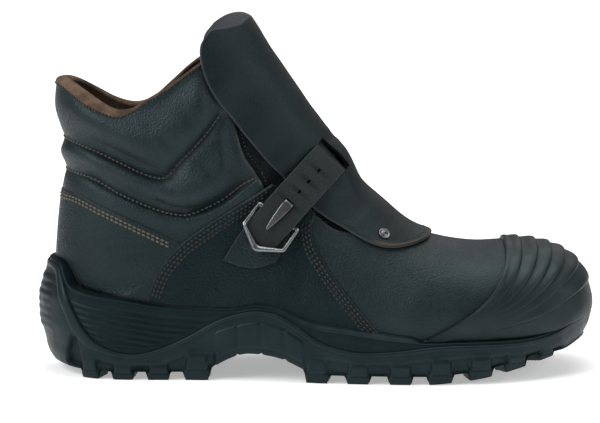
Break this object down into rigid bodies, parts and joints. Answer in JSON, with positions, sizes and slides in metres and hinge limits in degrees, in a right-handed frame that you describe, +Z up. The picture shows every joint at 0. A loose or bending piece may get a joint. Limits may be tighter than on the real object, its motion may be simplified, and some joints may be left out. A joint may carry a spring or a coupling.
{
  "type": "safety shoe",
  "caption": "Ankle-high safety shoe for the right foot: padded collar, front flap with buckled strap, ribbed toe cap and lugged sole; stands empty on its sole.",
  "frame": {"origin": "middle of the shoe's box on the floor, below the waist of the sole", "axes": "+X from heel to toe, +Y to the inner side of the right foot, -Y to the outer side with the buckle, +Z up from the floor"},
  "size_m": [0.3112, 0.1128, 0.1984],
  "materials": {
    "outsole_rubber": "satin",
    "midsole_foam": "satin",
    "toe_cap_rubber": "satin",
    "insole_felt": "matte",
    "upper_leather": "satin",
    "tongue_leather": "matte",
    "quarter_leather": "satin",
    "counter_leather": "satin",
    "flap_leather": "satin",
    "strap_leather": "matte",
    "buckle_nickel": "polished",
    "prong_steel": "satin",
    "rivet_nickel": "satin"
  },
  "bodies": {
    "root": {"outsole": "outsole_rubber", "midsole": "midsole_foam", "toe_cap": "toe_cap_rubber", "insole": "insole_felt", "upper": "upper_leather", "tongue": "tongue_leather", "quarter_outer": "quarter_leather", "quarter_inner": "quarter_leather", "heel_counter": "counter_leather", "flap": "flap_leather", "flap_rivet_outer": "rivet_nickel", "flap_rivet_inner": "rivet_nickel", "strap": "strap_leather", "buckle_frame": "buckle_nickel", "buckle_prong": "prong_steel", "buckle_tab": "strap_leather"}
  },
  "joints": []
}
